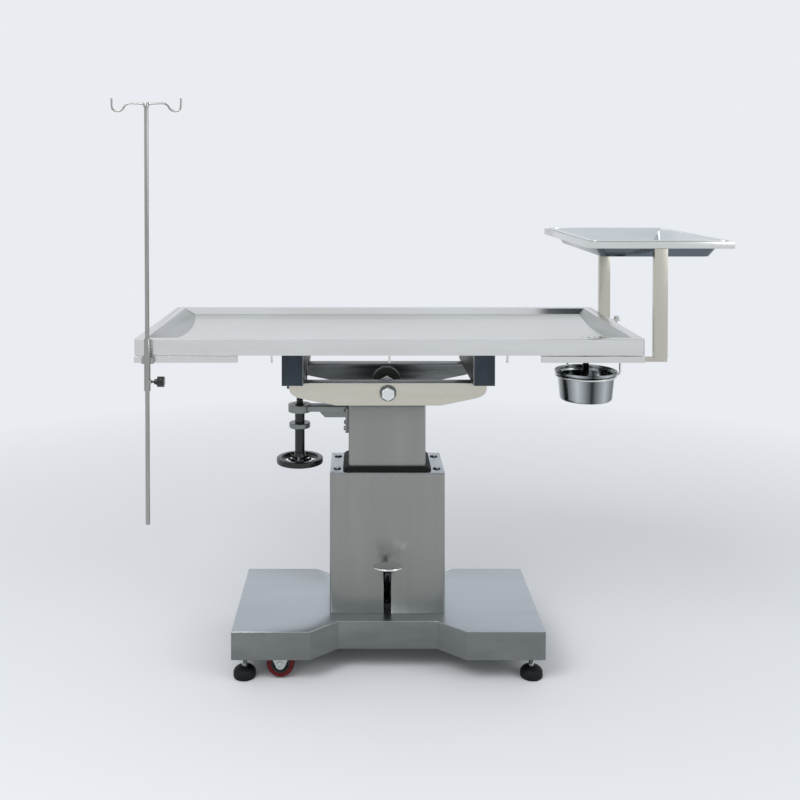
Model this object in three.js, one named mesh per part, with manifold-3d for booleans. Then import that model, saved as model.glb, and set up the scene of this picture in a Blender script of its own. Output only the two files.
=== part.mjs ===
// Veterinary exam table: hydraulic column, hand-wheel tilt, dished steel top, tray and drip pole.
// Millimetres, +Z up. X runs along the top, Y from the front to the back, Z from the floor.
import * as THREE from 'three';
import { ConvexGeometry } from 'three/addons/geometries/ConvexGeometry.js';
import { mergeVertices } from 'three/addons/utils/BufferGeometryUtils.js';
import Module from 'manifold-3d';

const wasm = await Module();
wasm.setup();

// Gaps between pieces that touch, and between pieces that slide
const seat = 0.3;
const slip = 0.5;

// Table top
const topLength = 1300;
const topWidth = 600;
const topHeight = 929;
const rimHeight = 41;
const rimFlange = 28;
const sheet = 3;
const floorEdgeDepth = 16;
const floorSag = 12;
const slopeRunLeft = 34;
const slopeRunRight = 16;
const slopeRunSide = 12;
const cornerRadius = 8;

// Drain
const drainInset = 84;
const drainFront = 167;
const drainX = topLength / 2 - drainInset;
const drainY = drainFront - topWidth / 2;
const sumpRadius = 40;
const sumpDepth = 5;
const spoutRadius = 8;
const spoutWall = 2;
const spoutLength = 92;

// Rails under the rim
const railLength = 262;
const railSize = 16;
const railWall = 1.6;
const railDrop = 3;
const railInset = 2;

// Tie pegs
const pegRadius = 2.5;
const pegLength = 19;
const pegSpacing = 300;

// Tilt frame
const pivotDrop = 169;
const pivotHeight = topHeight - pivotDrop;
const tiltPlateHalfLength = 266;
const tiltPlateFlat = 142;
const tiltPlateY = 150;
const tiltPlateThickness = 5;
const tiltPlateRise = 27;
const tiltPlateFall = 34;
const tiltPlateTop = pivotHeight + tiltPlateRise;
const tiltPlateBottom = pivotHeight - tiltPlateFall;
const tiltFlangeWidth = 45;
const crossX = 254.5;
const crossWidth = 57;
const crossHalfDepth = 196;
const crossWall = 3;

// Pivot
const pivotRadius = 12;
const boltHeadFlats = 36;
const boltHeadHeight = 15;
const lugRadius = 41;
const lugThickness = 24;
const lugFootHalf = 62;
const bushWall = 4;

// Column
const outerColumnX = 317;
const outerColumnY = 198;
const columnWall = 2.5;
const columnCorner = 6;
const capThickness = 4;
const innerColumnX = 214;
const innerColumnY = 144;
const pivotRise = 56;
const columnShown = 182;
const innerColumnTop = pivotHeight - pivotRise;
const outerColumnTop = innerColumnTop - columnShown;
const slotTop = 256;
const guideAboveSlot = 74;
const innerColumnBottom = slotTop + guideAboveSlot;
const innerColumnWall = 3;
const headThickness = 12;
const gasketWidth = 15;
const gasketHeight = 11;
const guideHeight = 28;

// Base
const baseLength = 834;
const baseDepth = 416;
const baseTop = 137;
const baseBottom = 61;
const baseSheet = 2.5;
const notchDepth = 63;
const notchHalfInner = 133;
const notchHalfOuter = 208;
const beamHeight = 28;
const beamWidth = 44;
const beamSpacingY = 130;
const frameGap = 4;
const bedThickness = 10;
const bedX = 330;
const bedY = 230;

// Feet and casters
const footInset = 32;
const footInsetY = 36;
const footX = baseLength / 2 - footInset;
const footY = baseDepth / 2 - footInsetY;
const footRadius = 30;
const footHeight = 40;
const studRadius = 7.5;
const casterStep = 97;
const casterX = casterStep - footX;
const casterY = footY;
const casterPlateLength = 76;
const casterPlateLip = 10;
const casterPlateHeight = 5;
const forkCheek = 26;
const forkEye = 12;
const wheelRadius = 37.5;
const wheelWidth = 28;
const wheelClearance = 3;
const axleRadius = 5;
const forkWall = 3;

// Hydraulics and pedal
const barrelRadius = 38;
const barrelDrop = 122;
const barrelTop = outerColumnTop - barrelDrop;
const ramRadius = 22;
const ramOverlap = 155;
const ramBottom = barrelTop - ramOverlap;
const barrelFloor = 12;
const cylinderY = 26;
const pumpWidth = 70;
const pumpDepth = 48;
const pumpY = -44;
const pumpFloor = 16;
const pumpEar = 8;
const pumpEarDepth = 24;
const slotWidth = 21;
const pedalRadius = 42;
const pedalY = -160;
const pedalHeight = 287;
const leverExit = 245;
const leverWidth = 14;
const leverThickness = 16;
const leverPivotY = -30;
const leverPivotHeight = 176;
const pedalPinRadius = 6;
const plungerY = -52;
const plungerRadius = 7;

// Tilt screw
const screwX = -247;
const screwRadius = 10;
const shaftRadius = 14;
const ringRadius = 33;
const ringDrop = 66;
const ringTop = pivotHeight - ringDrop;
const ringHeight = 20;
const collarRadius = 30;
const collarDrop = 52;
const collarTop = ringTop - collarDrop;
const collarHeight = 14;
const screwRise = 76;
const screwTop = pivotHeight + screwRise;
const screwTail = 40;
const tailStep = 2;
const screwWindow = 36;
const windowDrop = 44;
const screwWindowTop = topHeight - windowDrop;
const wheelRimRadius = 58;
const wheelRimTube = 8;
const handwheelDrop = 159;
const handwheelHeight = ringTop - handwheelDrop;
const wheelHubRadius = 24;
const wheelHubUnder = 14;
const wheelHubOver = 22;
const spokeWidth = 20;
const spokeThickness = 9;
const armPlateWidth = 90;
const armPlateHeight = 68;
const armPlateThickness = 9;
const armWidth = 46;
const armThickness = 14;
const armRib = 20;
const armBoltRadius = 6;
const nutWidth = 34;
const nutHeight = 30;
const nutDepth = 44;
const trunnionRadius = 7;
const trunnionLength = 78;
const nutLugY = 33;
const nutLugThickness = 6;
const slotPlay = 1.2;
const slotRun = 14;

// Drip pole
const poleInset = 37;
const poleX = poleInset - topLength / 2;
const poleRadius = 5.5;
const poleBelow = 468;
const poleAbove = 589;
const poleBottom = topHeight - poleBelow;
const poleTop = topHeight + poleAbove;
const sleeveWall = 2;
const sleeveBelow = 128;
const sleeveAbove = 4;
const sleeveBottom = topHeight - sleeveBelow;
const sleeveTop = topHeight + sleeveAbove;
const sleeveGap = 4;
const hookHalfSpan = 88;
const hookWire = 2.5;
const hookRise = 5;
const hookDip = 13;
const hookTip = 16;
const hookCap = 12;
const knobDrop = 105;
const knobHeight = topHeight - knobDrop;
const knobRadius = 13.5;
const knobLength = 18;
const knobStem = 15;

// Instrument tray
const trayOverhang = 40;
const trayCentreX = topLength / 2 + trayOverhang;
const trayFrameX = 374;
const trayRise = 249;
const trayFrameTop = topHeight + trayRise;
const trayBar = 18;
const postWidth = 34;
const postDepth = 18;
const armReach = 282;
const panDepth = 42;
const panTaper = 26;
const panFlange = 10;
const panSheet = 2;

// Bucket and its hoop
const bucketOffset = 29;
const bucketX = drainX - bucketOffset;
const bucketRadius = 76;
const bucketBottomRadius = 70;
const bucketRimRadius = 84;
const bucketDrop = 111;
const bucketRimTop = topHeight - bucketDrop;
const bucketHeight = 80;
const bucketSheet = 2;
const hoopWire = 3;
const hoopDrop = 13.5;
const hoopLegGap = 6;
const bucketLip = 12;
const bucketFillet = 6;

// Finishes
const steel = { color: '#C8C8C0', roughness: 0.3, metalness: 1 };
const satinSteel = { color: '#8A8E8E', roughness: 0.4, metalness: 1 };
const slateSteel = { color: '#3A424C', roughness: 0.35, metalness: 0.9 };
const zinc = { color: '#B8C4BE', roughness: 0.35, metalness: 1 };
const blackPlastic = { color: '#1A1C1E', roughness: 0.35, metalness: 0 };
const blackRubber = { color: '#24282B', roughness: 0.75, metalness: 0 };
const redTyre = { color: '#5A1414', roughness: 0.55, metalness: 0 };
const nylon = { color: '#E4E2DA', roughness: 0.5, metalness: 0 };
const castIron = { color: '#33373A', roughness: 0.6, metalness: 0.7 };
const bronze = { color: '#B08A4A', roughness: 0.4, metalness: 1 };
const chrome = { color: '#D8DCDC', roughness: 0.08, metalness: 1 };

// Helpers: geometry to solid, and placed primitives
function solid(geometry) {
  const bare = geometry.index ? geometry.toNonIndexed() : geometry.clone();
  bare.deleteAttribute('normal');
  bare.deleteAttribute('uv');
  const merged = mergeVertices(bare, 1e-3);
  const vertProperties = merged.attributes.position.array;
  const triVerts = new Uint32Array(merged.index.array);
  return new wasm.Manifold(new wasm.Mesh({ numProp: 3, vertProperties, triVerts }));
}

function piece(name, body, finish) {
  const data = body.getMesh();
  const geometry = new THREE.BufferGeometry();
  geometry.setAttribute('position', new THREE.BufferAttribute(data.vertProperties, 3));
  geometry.setIndex(new THREE.BufferAttribute(data.triVerts, 1));
  geometry.computeVertexNormals();
  const mesh = new THREE.Mesh(geometry, new THREE.MeshStandardMaterial(finish));
  mesh.name = name;
  return mesh;
}

// A block centred on x and y, standing on z
function block(sizeX, sizeY, sizeZ, x, y, z) {
  return solid(new THREE.BoxGeometry(sizeX, sizeY, sizeZ).translate(x, y, z + sizeZ / 2));
}

// A round rod along an axis, from a start point
function rod(radius, length, axis, x, y, z, sides = 20) {
  const geometry = new THREE.CylinderGeometry(radius, radius, length, sides);
  geometry.translate(0, length / 2, 0);
  if (axis === 'x') geometry.rotateZ(-Math.PI / 2);
  if (axis === 'z') geometry.rotateX(Math.PI / 2);
  return solid(geometry.translate(x, y, z));
}

// A turned piece on a vertical axis, from a closed profile of radius and height
function turned(profile, x, y, z, sides = 24) {
  const points = profile.map(([radius, height]) => new THREE.Vector2(radius, height));
  const geometry = new THREE.LatheGeometry(points, sides);
  geometry.rotateX(Math.PI / 2);
  return solid(geometry.translate(x, y, z));
}

function roundedRect(sizeX, sizeY, radius) {
  const x = sizeX / 2 - radius;
  const y = sizeY / 2 - radius;
  const shape = new THREE.Shape();
  shape.absarc(x, y, radius, 0, Math.PI / 2);
  shape.absarc(-x, y, radius, Math.PI / 2, Math.PI);
  shape.absarc(-x, -y, radius, Math.PI, Math.PI * 1.5);
  shape.absarc(x, -y, radius, Math.PI * 1.5, Math.PI * 2);
  return shape;
}

// A flat outline in X and Y raised from z
function prism(shape, z, height, curveSegments = 4) {
  const geometry = new THREE.ExtrudeGeometry(shape, { depth: height, bevelEnabled: false, curveSegments });
  return solid(geometry.translate(0, 0, z));
}

// An outline drawn in X and Z, with its thickness along Y from y
function upright(shape, y, thickness, curveSegments = 8) {
  const geometry = new THREE.ExtrudeGeometry(shape, { depth: thickness, bevelEnabled: false, curveSegments });
  geometry.rotateX(Math.PI / 2);
  return solid(geometry.translate(0, y + thickness, 0));
}

function polygon(points) {
  return new THREE.Shape(points.map(([x, y]) => new THREE.Vector2(x, y)));
}

function wire(curve, radius, steps, sides = 8) {
  const section = new THREE.Shape();
  section.absarc(0, 0, radius, 0, Math.PI * 2);
  const options = { steps, extrudePath: curve, bevelEnabled: false, curveSegments: sides };
  return solid(new THREE.ExtrudeGeometry(section, options));
}

function hexagon(flats) {
  const corner = flats / Math.sqrt(3);
  const points = [0, 1, 2, 3, 4, 5].map((k) => {
    const angle = (k * Math.PI) / 3 + Math.PI / 6;
    return [corner * Math.cos(angle), corner * Math.sin(angle)];
  });
  return polygon(points);
}

// A hexagon prism along Y
function hexAlongY(flats, thickness, x, y, z) {
  return upright(hexagon(flats), y, thickness).translate([x, 0, z]);
}

// Base: a folded cover over a welded frame
function baseOutline(inset) {
  const x = baseLength / 2 - inset;
  const y = baseDepth / 2 - inset;
  const slantX = notchHalfOuter - notchHalfInner;
  const slant = Math.hypot(slantX, notchDepth);
  const shift = (inset * (slant - slantX)) / notchDepth;
  const outer = notchHalfOuter + shift;
  const inner = notchHalfInner + shift;
  const waist = y - notchDepth;
  const quarter = [[inner, waist], [outer, y], [x, y]];
  const flip = (sx, sy) => quarter.map(([px, py]) => [sx * px, sy * py]);
  const loop = [
    ...flip(1, 1),
    ...flip(1, -1).reverse(),
    ...flip(-1, -1),
    ...flip(-1, 1).reverse(),
  ];
  return polygon(loop);
}

function baseCover() {
  const shell = prism(baseOutline(0), baseBottom, baseTop - baseBottom);
  const inside = prism(baseOutline(baseSheet), baseBottom - 1, baseTop - baseBottom + 1 - baseSheet);
  const mouth = block(innerColumnX, innerColumnY, baseSheet * 4, 0, 0, baseTop - baseSheet * 2);
  return shell.subtract(inside).subtract(mouth);
}

const bedTop = baseTop - baseSheet - seat;
const beamTop = bedTop - bedThickness;
const beamBottom = beamTop - beamHeight;

function baseFrame() {
  const long = 2 * footX;
  let frame = block(long, beamWidth, beamHeight, 0, beamSpacingY / 2, beamBottom);
  frame = frame.add(block(long, beamWidth, beamHeight, 0, -beamSpacingY / 2, beamBottom));
  const depth = baseDepth - 2 * baseSheet - 2 * frameGap;
  for (const x of [-footX, footX, casterX, -casterX]) {
    frame = frame.add(block(beamWidth, depth, beamHeight, x, 0, beamBottom));
  }
  frame = frame.add(block(bedX, bedY, bedTop - beamTop + 1, 0, 0, beamTop - 1));
  for (const sx of [-1, 1]) {
    for (const sy of [-1, 1]) {
      const hole = rod(studRadius + slip, beamHeight + 2, 'z', sx * footX, sy * footY, beamBottom - 1);
      frame = frame.subtract(hole);
    }
  }
  return frame;
}

// Levelling feet: a cup-shaped rubber pad on a threaded stud
function foot(x, y) {
  const neck = studRadius + 3;
  const profile = [
    [0, 0],
    [footRadius * 0.93, 0],
    [footRadius, footHeight * 0.12],
    [footRadius, footHeight * 0.6],
    [footRadius * 0.87, footHeight * 0.82],
    [neck + 2, footHeight],
    [0, footHeight],
  ];
  const pad = turned(profile, x, y, 0, 18);
  const stud = rod(studRadius, beamTop - footHeight, 'z', x, y, footHeight - 2, 10);
  const nutThickness = 9;
  const nut = prism(hexagon(studRadius * 3), beamBottom - nutThickness - seat, nutThickness);
  return pad.add(stud).add(nut.translate([x, y, 0]));
}

// Rigid casters at the left end
const axleHeight = wheelRadius + wheelClearance;

function casterFork(y) {
  const outer = wheelWidth + 2 * (slip * 4 + forkWall);
  const plateZ = beamBottom - casterPlateHeight - seat;
  const plateY = outer + 2 * casterPlateLip;
  const plate = block(casterPlateLength, plateY, casterPlateHeight, casterX, y, plateZ);
  const cheek = new THREE.Shape();
  cheek.moveTo(-forkCheek, plateZ + 1);
  cheek.lineTo(-forkEye, axleHeight);
  cheek.absarc(0, axleHeight, forkEye, Math.PI, Math.PI * 2);
  cheek.lineTo(forkCheek, plateZ + 1);
  const gap = outer / 2 - forkWall;
  const front = upright(cheek, y - outer / 2, forkWall).translate([casterX, 0, 0]);
  const back = upright(cheek, y + gap, forkWall).translate([casterX, 0, 0]);
  return plate.add(front).add(back).add(casterAxle(y));
}

function casterAxle(y) {
  const half = wheelWidth / 2 + slip * 4 + forkWall;
  const hexHeight = 4;
  const pin = rod(axleRadius, 2 * half + 2 * seat, 'y', casterX, y - half - seat, axleHeight, 12);
  const front = hexAlongY(16, hexHeight, casterX, y - half - seat - hexHeight, axleHeight);
  const back = hexAlongY(16, hexHeight, casterX, y + half + seat, axleHeight);
  return pin.add(front).add(back);
}

const hubRadius = wheelRadius * 0.66;

function casterHub(y) {
  const half = wheelWidth / 2;
  const web = half * 0.55;
  const profile = [
    [axleRadius + slip, -half - slip],
    [axleRadius + 6, -half - slip],
    [axleRadius + 6, -web],
    [hubRadius - 5, -web],
    [hubRadius - 5, -half + 1],
    [hubRadius, -half + 1],
    [hubRadius, half - 1],
    [hubRadius - 5, half - 1],
    [hubRadius - 5, web],
    [axleRadius + 6, web],
    [axleRadius + 6, half + slip],
    [axleRadius + slip, half + slip],
    [axleRadius + slip, -half - slip],
  ];
  return turned(profile, 0, 0, 0, 14).rotate([90, 0, 0]).translate([casterX, y, axleHeight]);
}

function casterTyre(y) {
  const half = wheelWidth / 2;
  const inner = hubRadius + seat;
  const profile = [
    [inner, -half + 1],
    [wheelRadius - 4, -half],
    [wheelRadius - 1, -half + 4],
    [wheelRadius, 0],
    [wheelRadius - 1, half - 4],
    [wheelRadius - 4, half],
    [inner, half - 1],
    [inner, -half + 1],
  ];
  return turned(profile, 0, 0, 0, 24).rotate([90, 0, 0]).translate([casterX, y, axleHeight]);
}

// Column: outer box with the pedal slot, cap, rubber wiper and guides
function outerColumn() {
  const height = outerColumnTop - baseTop - seat;
  const shell = prism(roundedRect(outerColumnX, outerColumnY, columnCorner), baseTop + seat, height);
  const hollowX = outerColumnX - 2 * columnWall;
  const hollowY = outerColumnY - 2 * columnWall;
  const hollow = prism(roundedRect(hollowX, hollowY, columnCorner - columnWall), baseTop, height + 2);
  const slotDepth = columnWall * 4;
  const slot = block(slotWidth, slotDepth, slotTop - baseTop, 0, -outerColumnY / 2, baseTop);
  return shell.subtract(hollow).subtract(slot);
}

function columnCap() {
  const outline = roundedRect(outerColumnX, outerColumnY, columnCorner);
  const plate = prism(outline, outerColumnTop + seat, capThickness);
  const mouthZ = outerColumnTop - capThickness;
  const mouth = block(innerColumnX + 6, innerColumnY + 6, capThickness * 4, 0, 0, mouthZ);
  let cap = plate.subtract(mouth);
  for (const sx of [-1, 1]) {
    for (const sy of [-1, 1]) {
      cap = cap.add(capScrew(sx, sy));
    }
  }
  return cap;
}

const capTop = outerColumnTop + seat + capThickness;

function capScrew(sx, sy) {
  const x = sx * (outerColumnX / 2 - 20);
  const y = sy * (outerColumnY / 2 - 40);
  return prism(hexagon(12), capTop - 1, 6).translate([x, y, 0]);
}

function gasket() {
  const outX = innerColumnX + 2 * gasketWidth;
  const outY = innerColumnY + 2 * gasketWidth;
  const lower = prism(roundedRect(outX, outY, 14), capTop + seat, gasketHeight * 0.6);
  const upper = prism(roundedRect(outX - 10, outY - 10, 10), capTop + seat, gasketHeight);
  const holeX = innerColumnX + 2 * slip;
  const holeY = innerColumnY + 2 * slip;
  const mouth = block(holeX, holeY, gasketHeight * 3, 0, 0, capTop - gasketHeight);
  return lower.add(upper).subtract(mouth);
}

function guideRing(sizeX, sizeY, holeX, holeY, z) {
  const ring = block(sizeX, sizeY, guideHeight, 0, 0, z);
  return ring.subtract(block(holeX, holeY, guideHeight + 2, 0, 0, z - 1));
}

function upperGuide() {
  const sizeX = outerColumnX - 2 * columnWall - 2 * seat;
  const sizeY = outerColumnY - 2 * columnWall - 2 * seat;
  const z = outerColumnTop - guideHeight - 1;
  const corners = prism(roundedRect(sizeX, sizeY, columnCorner), z, guideHeight);
  const hole = block(innerColumnX + 2 * slip, innerColumnY + 2 * slip, guideHeight + 2, 0, 0, z - 1);
  return corners.subtract(hole);
}

function lowerGuide() {
  const clear = 2 * (columnWall + slip);
  const sizeX = outerColumnX - clear - 2 * columnCorner;
  const sizeY = outerColumnY - clear;
  const ring = guideRing(sizeX, sizeY, innerColumnX + 2 * seat, innerColumnY + 2 * seat, innerColumnBottom);
  const notchY = -outerColumnY / 2;
  const notch = block(leverWidth + 30, outerColumnY, guideHeight + 2, 0, notchY, innerColumnBottom - 1);
  return ring.subtract(notch);
}

function innerColumn() {
  const height = innerColumnTop - innerColumnBottom;
  const shell = prism(roundedRect(innerColumnX, innerColumnY, columnCorner), innerColumnBottom, height);
  const hollowX = innerColumnX - 2 * innerColumnWall;
  const hollowY = innerColumnY - 2 * innerColumnWall;
  const hollowShape = roundedRect(hollowX, hollowY, columnCorner - innerColumnWall);
  const hollow = prism(hollowShape, innerColumnBottom - 1, height + 2);
  return shell.subtract(hollow);
}

const headZ = innerColumnTop + seat;
const headTop = headZ + headThickness;

// Pivot head: a round-topped lug on the head plate, carrying the pivot bolt
function pivotLug() {
  const foot = headTop + seat - pivotHeight;
  const shape = new THREE.Shape();
  shape.moveTo(-lugFootHalf, foot);
  shape.lineTo(lugFootHalf, foot);
  shape.lineTo(lugRadius, 0);
  shape.absarc(0, 0, lugRadius, 0, Math.PI);
  const lug = upright(shape, -lugThickness / 2, lugThickness, 12).translate([0, 0, pivotHeight]);
  const bore = rod(pivotRadius + seat, lugThickness + 2, 'y', 0, -lugThickness / 2 - 1, pivotHeight);
  return lug.subtract(bore);
}

function pivotNut(side) {
  const thickness = 16;
  const y = side > 0 ? lugThickness / 2 + seat : -lugThickness / 2 - seat - thickness;
  return hexAlongY(boltHeadFlats, thickness, 0, y, pivotHeight);
}

const bushFlange = 3;
const pivotEnd = tiltPlateY + tiltPlateThickness + bushFlange + 2 * seat;

function pivotBolt() {
  const shank = rod(pivotRadius, 2 * pivotEnd + boltHeadHeight, 'y', 0, -pivotEnd, pivotHeight);
  const head = hexAlongY(boltHeadFlats, boltHeadHeight, 0, -pivotEnd - boltHeadHeight, pivotHeight);
  const endNut = hexAlongY(boltHeadFlats, boltHeadHeight, 0, pivotEnd, pivotHeight);
  return shank.add(head).add(endNut).add(pivotNut(-1)).add(pivotNut(1));
}

// Flanged bush in each tilt plate
function pivotBush(side) {
  const inner = pivotRadius + seat;
  const outer = inner + bushWall;
  const length = tiltPlateThickness + 6;
  const profile = [
    [inner, 0],
    [outer + 6, 0],
    [outer + 6, bushFlange],
    [outer, bushFlange],
    [outer, bushFlange + length],
    [inner, bushFlange + length],
    [inner, 0],
  ];
  const turn = side > 0 ? 90 : -90;
  const y = side * (tiltPlateY + tiltPlateThickness + seat + bushFlange);
  return turned(profile, 0, 0, 0, 20).rotate([turn, 0, 0]).translate([0, y, pivotHeight]);
}

// Tilt plates: a boat-shaped web with a flange folded inwards along its top
function tiltPlate(side) {
  const shape = new THREE.Shape();
  const half = tiltPlateHalfLength;
  shape.moveTo(-half, tiltPlateTop);
  shape.lineTo(-half, tiltPlateTop - 14);
  shape.quadraticCurveTo(-half, tiltPlateBottom + 26, -half + 30, tiltPlateBottom + 19);
  shape.lineTo(-tiltPlateFlat, tiltPlateBottom);
  shape.lineTo(tiltPlateFlat, tiltPlateBottom);
  shape.lineTo(half - 30, tiltPlateBottom + 19);
  shape.quadraticCurveTo(half, tiltPlateBottom + 26, half, tiltPlateTop - 14);
  shape.lineTo(half, tiltPlateTop);
  const webY = side > 0 ? tiltPlateY : -tiltPlateY - tiltPlateThickness;
  const web = upright(shape, webY, tiltPlateThickness);
  const flangeY = side * (tiltPlateY + tiltPlateThickness - tiltFlangeWidth / 2);
  const flangeZ = tiltPlateTop - tiltPlateThickness;
  const flange = block(2 * half, tiltFlangeWidth, tiltPlateThickness, 0, flangeY, flangeZ);
  const bore = pivotRadius + bushWall + 2 * seat;
  const hole = rod(bore, 3 * tiltPlateThickness, 'y', 0, webY - tiltPlateThickness, pivotHeight);
  return web.add(flange).subtract(hole);
}

// Table top: skirt and flange round a dished floor that falls to the drain
function dish(offset) {
  const halfX = topLength / 2 - rimFlange + offset;
  const halfY = topWidth / 2 - rimFlange + offset;
  const lip = offset > 0 ? topHeight - offset : topHeight + 5;
  const points = [];
  for (const sx of [-1, 1]) {
    for (const sy of [-1, 1]) {
      points.push(new THREE.Vector3(sx * halfX, sy * halfY, topHeight - offset));
      points.push(new THREE.Vector3(sx * halfX, sy * halfY, lip));
    }
    const run = sx < 0 ? slopeRunLeft : slopeRunRight;
    const steps = 5;
    for (let k = -steps; k <= steps; k += 1) {
      const t = k / steps;
      const depth = floorEdgeDepth + floorSag * (1 - t * t);
      const x = sx * (halfX - (run * depth) / floorEdgeDepth);
      points.push(new THREE.Vector3(x, t * (halfY - slopeRunSide), topHeight - depth - offset));
    }
  }
  return solid(new ConvexGeometry(points));
}

const drainShare = drainY / (topWidth / 2 - rimFlange - slopeRunSide);
const drainFloor = topHeight - floorEdgeDepth - floorSag * (1 - drainShare * drainShare);
const sumpFloor = drainFloor - sumpDepth;
const rimBottom = topHeight - rimHeight;

function tableTop() {
  const skirt = prism(roundedRect(topLength, topWidth, cornerRadius), rimBottom, rimHeight);
  const insideX = topLength - 2 * sheet;
  const insideY = topWidth - 2 * sheet;
  const insideShape = roundedRect(insideX, insideY, cornerRadius - sheet);
  const inside = prism(insideShape, rimBottom - 1, rimHeight + 1 - sheet);
  const sumpHeight = sumpDepth + sheet;
  const sumpWall = rod(sumpRadius + sheet, sumpHeight, 'z', drainX, drainY, sumpFloor - sheet);
  const sump = rod(sumpRadius, sumpDepth + sheet * 2, 'z', drainX, drainY, sumpFloor);
  const hole = rod(spoutRadius + seat, sheet * 4, 'z', drainX, drainY, sumpFloor - sheet * 2);
  const shell = skirt.subtract(inside).add(dish(sheet)).add(sumpWall);
  let top = shell.subtract(dish(0)).subtract(sump).subtract(hole);
  for (const x of [-pegSpacing, 0, pegSpacing]) {
    top = top.add(tiePeg(x, -1)).add(tiePeg(x, 1));
  }
  return top;
}

function drainSpout() {
  const inner = spoutRadius - spoutWall;
  const flangeRadius = spoutRadius + 9;
  const profile = [
    [inner, -spoutLength],
    [spoutRadius, -spoutLength],
    [spoutRadius, seat],
    [flangeRadius, seat],
    [flangeRadius, 1.8],
    [inner, 1.8],
    [inner, -spoutLength],
  ];
  return turned(profile, drainX, drainY, sumpFloor, 16);
}

function drainStrainer() {
  const z = sumpFloor + 1.8 + seat;
  let plate = rod(sumpRadius - 2, 2, 'z', drainX, drainY, z, 28);
  for (let k = 0; k < 8; k += 1) {
    const angle = (k * Math.PI) / 4;
    const reach = sumpRadius * 0.6;
    const x = drainX + reach * Math.cos(angle);
    const y = drainY + reach * Math.sin(angle);
    plate = plate.subtract(rod(5, 6, 'z', x, y, z - 2, 6));
  }
  return plate;
}

// Cross members: channels under the top, closed at the front and back, cut to the dish above them.
// The left one has a window in its inner wall, where the screw passes when that end is down.
function crossMember(side) {
  const x = side * crossX;
  const bottom = tiltPlateTop + seat;
  const height = topHeight - sheet - seat - bottom;
  const depth = 2 * crossHalfDepth;
  const channel = block(crossWidth, depth, height, x, 0, bottom);
  const roof = topHeight - floorEdgeDepth - floorSag - sheet - bottom - 2 * crossWall;
  const hollow = block(crossWidth - 2 * crossWall, depth - 2 * crossWall, roof + 1, x, 0, bottom - 1);
  let member = channel.subtract(hollow);
  if (side < 0) {
    const inner = x + crossWidth / 2;
    const window = block(4 * crossWall, screwWindow, screwWindowTop - bottom + 1, inner, 0, bottom - 1);
    member = member.subtract(window).add(nutLug(-1)).add(nutLug(1));
  }
  return member.subtract(dish(sheet + seat));
}

// Rails: open square tubes on spacers under the rim
const railY = topWidth / 2 - railInset - railSize / 2;
const railTop = rimBottom - railDrop;

function rail(sx, sy) {
  const x = sx * (topLength / 2 - railLength / 2);
  const y = sy * railY;
  const bore = railSize - 2 * railWall;
  let tube = block(railLength, railSize, railSize, x, y, railTop - railSize);
  for (const end of [-1, 1]) {
    const spacerX = x + end * (railLength / 2 - 34);
    const spacer = block(24, railSize - 8, railDrop - seat + 1, spacerX, y, railTop - 1);
    tube = tube.add(spacer);
  }
  return tube.subtract(block(railLength + 2, bore, bore, x, y, railTop - railWall - bore));
}

function tiePeg(x, sy) {
  const y = sy * (topWidth / 2 - pegRadius);
  const stem = rod(pegRadius, pegLength + sheet, 'z', x, y, rimBottom - pegLength, 10);
  const toe = rod(pegRadius, 7, 'y', x, sy > 0 ? y - 7 : y, rimBottom - pegLength + pegRadius, 10);
  return stem.add(toe);
}

// Tilt screw: arm on the column, bearing ring, screw with collar, hand wheel and travelling nut
const armFace = -innerColumnX / 2 - seat - armPlateThickness;
const armPlateBottom = ringTop - armPlateHeight - 3;

function screwArm() {
  const plateX = armFace + armPlateThickness / 2;
  const plate = block(armPlateThickness, armPlateWidth, armPlateHeight, plateX, 0, armPlateBottom);
  const armLength = armFace - screwX + 1;
  const armBottom = ringTop - (ringHeight + armThickness) / 2;
  const arm = block(armLength, armWidth, armThickness, armFace + 1 - armLength / 2, 0, armBottom);
  const ribReach = armLength * 0.6;
  const rib = polygon([
    [armFace + 1, armBottom + 1],
    [armFace - ribReach, armBottom + 1],
    [armFace - ribReach + armRib, armBottom - armRib],
    [armFace + 1, armBottom - armRib],
  ]);
  const ring = rod(ringRadius, ringHeight, 'z', screwX, 0, ringTop - ringHeight, 32);
  const boreRadius = shaftRadius + bushWall + seat;
  const bore = rod(boreRadius, ringHeight + 2, 'z', screwX, 0, ringTop - ringHeight - 1, 24);
  const ribBody = upright(rib, -armBoltRadius, 2 * armBoltRadius);
  let bracket = plate.add(arm).add(ribBody).add(ring).subtract(bore);
  for (const sy of [-1, 1]) {
    bracket = bracket.add(armBolt(sy, -1)).add(armBolt(sy, 1));
  }
  return bracket;
}

function armBolt(sy, sz) {
  const y = sy * (armPlateWidth / 2 - 2 * armBoltRadius);
  const z = armPlateBottom + armPlateHeight / 2 + sz * (armPlateHeight / 2 - 1.7 * armBoltRadius);
  return rod(armBoltRadius, armBoltRadius, 'x', armFace - armBoltRadius + 1, y, z, 8);
}

function screwBush() {
  const inner = shaftRadius + seat;
  const outer = shaftRadius + bushWall;
  const profile = [
    [inner, 0],
    [outer, 0],
    [outer, ringHeight],
    [inner, ringHeight],
    [inner, 0],
  ];
  return turned(profile, screwX, 0, ringTop - ringHeight, 24);
}

const hubTop = handwheelHeight + wheelHubOver;
const tailRadius = screwRadius - tailStep;

function tiltScrew() {
  const shaft = rod(shaftRadius, ringTop + 2 - hubTop, 'z', screwX, 0, hubTop, 20);
  const thread = rod(screwRadius, screwTop - ringTop, 'z', screwX, 0, ringTop, 16);
  const tail = rod(tailRadius, screwTail, 'z', screwX, 0, hubTop - screwTail, 16);
  const collar = rod(collarRadius, collarHeight, 'z', screwX, 0, collarTop - collarHeight, 24);
  return shaft.add(thread).add(tail).add(collar);
}

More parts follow.
